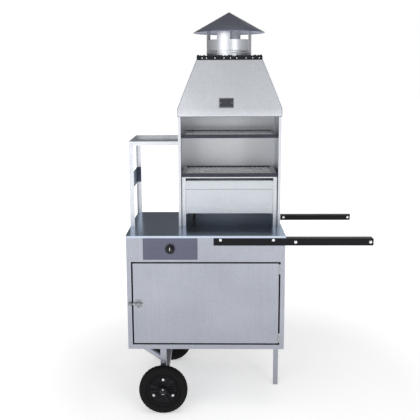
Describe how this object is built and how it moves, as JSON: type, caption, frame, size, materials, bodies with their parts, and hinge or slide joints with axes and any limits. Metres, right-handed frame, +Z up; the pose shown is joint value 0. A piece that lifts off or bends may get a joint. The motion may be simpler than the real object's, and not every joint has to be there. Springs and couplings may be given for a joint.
{
  "type": "push cart with hooded grill",
  "caption": "Sheet-metal grill cart: cabinet with door on wheels and a leg, side rack, hooded grill with chimney cap, gas knob and push handles.",
  "frame": {"origin": "on the ground, under the middle of the overall length (handles included) and the overall depth", "axes": "+X towards the push handles, -Y towards the door and control plate, +Z up"},
  "size_m": [1.2384, 0.7228, 2.048],
  "materials": {
    "galvanised": "galvanised sheet, fine spangle",
    "chimney_cap": "galvanised sheet in shade",
    "cabinet_steel": "satin galvanised sheet",
    "worktop_steel": "polished stainless sheet",
    "frame_steel": "mill finish tube",
    "plate_steel": "dark satin plate",
    "firebox_steel": "galvanised sheet",
    "grate_steel": "pierced sheet, smoke darkened",
    "burner_iron": "cast burner",
    "handle_paint": "gloss black enamel",
    "zinc": "bright zinc",
    "tyre": "solid rubber",
    "rim_plastic": "moulded black plastic",
    "bush_nylon": "nylon",
    "knob_plastic": "black phenolic",
    "brass": "drawn brass",
    "badge": "plain enamelled plate"
  },
  "bodies": {
    "cart": {"axle": "zinc", "axle_beam": "frame_steel", "axle_washers": "zinc", "back_panel": "cabinet_steel", "badge": "badge", "base_frame": "frame_steel", "braces": "cabinet_steel", "burner": "burner_iron", "burner_box": "firebox_steel", "burner_stand": "galvanised", "cap_straps": "galvanised", "chimney_cap": "chimney_cap", "chimney_collar": "galvanised", "control_plate": "plate_steel", "corner_posts": "frame_steel", "cotter_pins": "zinc", "door_frame": "cabinet_steel", "floor_panel": "frame_steel", "front_panel": "cabinet_steel", "gas_pipe": "brass", "gas_valve": "brass", "grate_rails": "galvanised", "handle_bolts": "zinc", "handle_front": "handle_paint", "handle_rear": "handle_paint", "hinge_frame_leaves": "zinc", "hinge_pins": "zinc", "hood_back": "galvanised", "hood_crown": "galvanised", "hood_front": "galvanised", "hood_sides": "galvanised", "housing_back": "galvanised", "housing_left": "galvanised", "housing_right": "galvanised", "latch_keeper": "zinc", "rack_band": "worktop_steel", "rack_posts": "galvanised", "rack_tray": "galvanised", "rivets": "zinc", "side_panel_left": "cabinet_steel", "side_panel_right": "cabinet_steel", "support_leg": "cabinet_steel", "wheel_posts": "cabinet_steel", "worktop": "worktop_steel"},
    "door": {"door": "cabinet_steel", "hinge_door_leaves": "zinc", "latch_plate": "zinc"},
    "latch_bolt": {"latch_bolt": "zinc"},
    "knob": {"knob": "knob_plastic"},
    "wheel_front": {"tyre_front": "tyre", "rim_front": "rim_plastic", "hub_bush_front": "bush_nylon", "rim_bolts_front": "zinc"},
    "wheel_rear": {"tyre_rear": "tyre", "rim_rear": "rim_plastic", "hub_bush_rear": "bush_nylon", "rim_bolts_rear": "zinc"},
    "upper_grate": {"upper_grate": "grate_steel"},
    "lower_grate": {"lower_grate": "grate_steel"},
    "ember_tray": {"ember_tray": "firebox_steel"}
  },
  "joints": [
    {"name": "door_hinge", "type": "hinge", "parent": "cart", "child": "door", "pos_m": [0.15525, -0.293, 0.575], "axis": [0, 0, 1], "range_deg": [0, 110]},
    {"name": "latch_slide", "type": "slide", "parent": "door", "child": "latch_bolt", "axis": [-1, 0, 0], "range_m": [0, 0.014]},
    {"name": "knob_turn", "type": "hinge", "parent": "cart", "child": "knob", "pos_m": [-0.39575, -0.29, 0.863], "axis": [0, -1, 0], "range_deg": [0, 180]},
    {"name": "wheel_front_spin", "type": "hinge", "parent": "cart", "child": "wheel_front", "pos_m": [-0.43775, -0.321, 0.125], "axis": [0, 1, 0], "continuous": true},
    {"name": "wheel_rear_spin", "type": "hinge", "parent": "cart", "child": "wheel_rear", "pos_m": [-0.43775, 0.321, 0.125], "axis": [0, 1, 0], "continuous": true},
    {"name": "upper_grate_slide", "type": "slide", "parent": "cart", "child": "upper_grate", "axis": [0, -1, 0], "range_m": [0, 0.2]},
    {"name": "lower_grate_slide", "type": "slide", "parent": "cart", "child": "lower_grate", "axis": [0, -1, 0], "range_m": [0, 0.2]},
    {"name": "ember_tray_slide", "type": "slide", "parent": "cart", "child": "ember_tray", "axis": [0, -1, 0], "range_m": [0, 0.22]}
  ]
}
